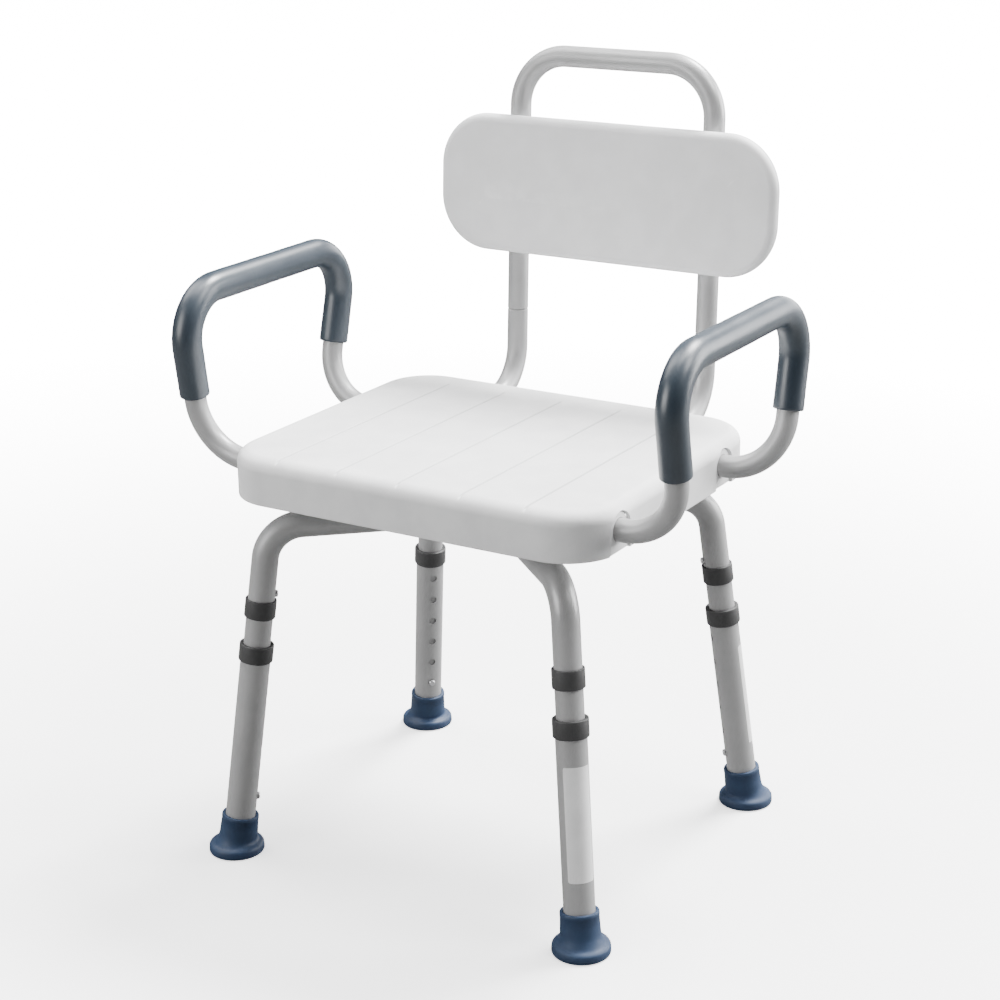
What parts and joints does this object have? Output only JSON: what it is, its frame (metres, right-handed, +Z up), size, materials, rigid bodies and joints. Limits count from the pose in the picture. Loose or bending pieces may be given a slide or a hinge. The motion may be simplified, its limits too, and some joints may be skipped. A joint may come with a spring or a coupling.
{
  "type": "swivel shower chair",
  "caption": "Swivelling shower chair: moulded seat with padded loop armrests, an oval back panel with a handle loop above it, and splayed telescopic legs with snap buttons.",
  "frame": {"origin": "on the floor, under the middle of the whole chair's bounding box", "axes": "+Z up; the sitter faces -Y; +X is the sitter's left, seen on the right when the chair is looked at from the front"},
  "size_m": [0.5356, 0.4504, 0.7301],
  "materials": {
    "seat_plastic": "moulded, lightly grained, off-white",
    "back_plastic": "moulded, satin, off-white",
    "tube_metal": "satin anodised",
    "grip_foam": "closed-cell foam, matt slate",
    "collar_plastic": "moulded, matt dark grey",
    "foot_rubber": "moulded, matt dark blue-grey",
    "spring_steel": "bright zinc-plated"
  },
  "bodies": {
    "base": {"lower_swivel_plate": "tube_metal", "lower_bearing_race": "spring_steel", "ball_ring": "collar_plastic", "pivot_bolt": "spring_steel", "pivot_nut": "spring_steel", "upper_leg_tube_front_left": "tube_metal", "joint_collar_front_left": "collar_plastic", "inner_leg_tube_front_left": "tube_metal", "upper_leg_tube_front_right": "tube_metal", "joint_collar_front_right": "collar_plastic", "inner_leg_tube_front_right": "tube_metal", "upper_leg_tube_back_right": "tube_metal", "joint_collar_back_right": "collar_plastic", "inner_leg_tube_back_right": "tube_metal", "upper_leg_tube_back_left": "tube_metal", "joint_collar_back_left": "collar_plastic", "inner_leg_tube_back_left": "tube_metal"},
    "seat": {"upper_bearing_race": "spring_steel", "upper_swivel_plate": "tube_metal", "seat_shell": "seat_plastic", "arm_socket_front_left": "seat_plastic", "arm_socket_front_right": "seat_plastic", "arm_socket_rear_left": "seat_plastic", "arm_socket_rear_right": "seat_plastic", "back_socket_left": "seat_plastic", "back_socket_right": "seat_plastic", "arm_tube_left": "tube_metal", "arm_grip_left": "grip_foam", "back_lower_tube_left": "tube_metal", "back_panel_saddle_left": "back_plastic", "arm_tube_right": "tube_metal", "arm_grip_right": "grip_foam", "back_lower_tube_right": "tube_metal", "back_panel_saddle_right": "back_plastic", "back_handle_tube": "tube_metal", "back_panel": "back_plastic"},
    "leg_front_left": {"outer_leg_tube_front_left": "tube_metal", "outer_leg_collar_front_left": "collar_plastic", "foot_front_left": "foot_rubber"},
    "height_button_front_left": {"height_clip_front_left": "spring_steel"},
    "joint_button_front_left": {"joint_clip_front_left": "spring_steel"},
    "leg_front_right": {"outer_leg_tube_front_right": "tube_metal", "outer_leg_collar_front_right": "collar_plastic", "foot_front_right": "foot_rubber"},
    "height_button_front_right": {"height_clip_front_right": "spring_steel"},
    "joint_button_front_right": {"joint_clip_front_right": "spring_steel"},
    "leg_back_right": {"outer_leg_tube_back_right": "tube_metal", "outer_leg_collar_back_right": "collar_plastic", "foot_back_right": "foot_rubber"},
    "height_button_back_right": {"height_clip_back_right": "spring_steel"},
    "joint_button_back_right": {"joint_clip_back_right": "spring_steel"},
    "leg_back_left": {"outer_leg_tube_back_left": "tube_metal", "outer_leg_collar_back_left": "collar_plastic", "foot_back_left": "foot_rubber"},
    "height_button_back_left": {"height_clip_back_left": "spring_steel"},
    "joint_button_back_left": {"joint_clip_back_left": "spring_steel"},
    "back_button_left": {"back_clip_left": "spring_steel"},
    "back_button_right": {"back_clip_right": "spring_steel"}
  },
  "joints": [
    {"name": "seat_swivel", "type": "hinge", "parent": "base", "child": "seat", "pos_m": [0, -0.02874, 0.3485], "axis": [0, 0, 1], "continuous": true},
    {"name": "leg_extend_front_left", "type": "slide", "parent": "base", "child": "leg_front_left", "axis": [-0.1015, -0.0901, -0.9907], "range_m": [0, 0.127]},
    {"name": "height_press_front_left", "type": "slide", "parent": "base", "child": "height_button_front_left", "axis": [-0.7409, -0.6578, 0.1357], "range_m": [0, 0.004], "stiffness_N_per_m": 400, "deforming": ["height_clip_front_left"]},
    {"name": "joint_press_front_left", "type": "slide", "parent": "base", "child": "joint_button_front_left", "axis": [-0.7409, -0.6578, 0.1357], "range_m": [0, 0.004], "stiffness_N_per_m": 400, "deforming": ["joint_clip_front_left"]},
    {"name": "leg_extend_front_right", "type": "slide", "parent": "base", "child": "leg_front_right", "axis": [0.1015, -0.0901, -0.9907], "range_m": [0, 0.127]},
    {"name": "height_press_front_right", "type": "slide", "parent": "base", "child": "height_button_front_right", "axis": [0.7409, -0.6578, 0.1357], "range_m": [0, 0.004], "stiffness_N_per_m": 400, "deforming": ["height_clip_front_right"]},
    {"name": "joint_press_front_right", "type": "slide", "parent": "base", "child": "joint_button_front_right", "axis": [0.7409, -0.6578, 0.1357], "range_m": [0, 0.004], "stiffness_N_per_m": 400, "deforming": ["joint_clip_front_right"]},
    {"name": "leg_extend_back_right", "type": "slide", "parent": "base", "child": "leg_back_right", "axis": [0.1015, 0.0901, -0.9907], "range_m": [0, 0.127]},
    {"name": "height_press_back_right", "type": "slide", "parent": "base", "child": "height_button_back_right", "axis": [0.7409, 0.6578, 0.1357], "range_m": [0, 0.004], "stiffness_N_per_m": 400, "deforming": ["height_clip_back_right"]},
    {"name": "joint_press_back_right", "type": "slide", "parent": "base", "child": "joint_button_back_right", "axis": [0.7409, 0.6578, 0.1357], "range_m": [0, 0.004], "stiffness_N_per_m": 400, "deforming": ["joint_clip_back_right"]},
    {"name": "leg_extend_back_left", "type": "slide", "parent": "base", "child": "leg_back_left", "axis": [-0.1015, 0.0901, -0.9907], "range_m": [0, 0.127]},
    {"name": "height_press_back_left", "type": "slide", "parent": "base", "child": "height_button_back_left", "axis": [-0.7409, 0.6578, 0.1357], "range_m": [0, 0.004], "stiffness_N_per_m": 400, "deforming": ["height_clip_back_left"]},
    {"name": "joint_press_back_left", "type": "slide", "parent": "base", "child": "joint_button_back_left", "axis": [-0.7409, 0.6578, 0.1357], "range_m": [0, 0.004], "stiffness_N_per_m": 400, "deforming": ["joint_clip_back_left"]},
    {"name": "back_press_left", "type": "slide", "parent": "seat", "child": "back_button_left", "axis": [0, -0.9988, 0.048], "range_m": [0, 0.0043], "stiffness_N_per_m": 400, "deforming": ["back_clip_left"]},
    {"name": "back_press_right", "type": "slide", "parent": "seat", "child": "back_button_right", "axis": [0, -0.9988, 0.048], "range_m": [0, 0.0043], "stiffness_N_per_m": 400, "deforming": ["back_clip_right"]}
  ]
}
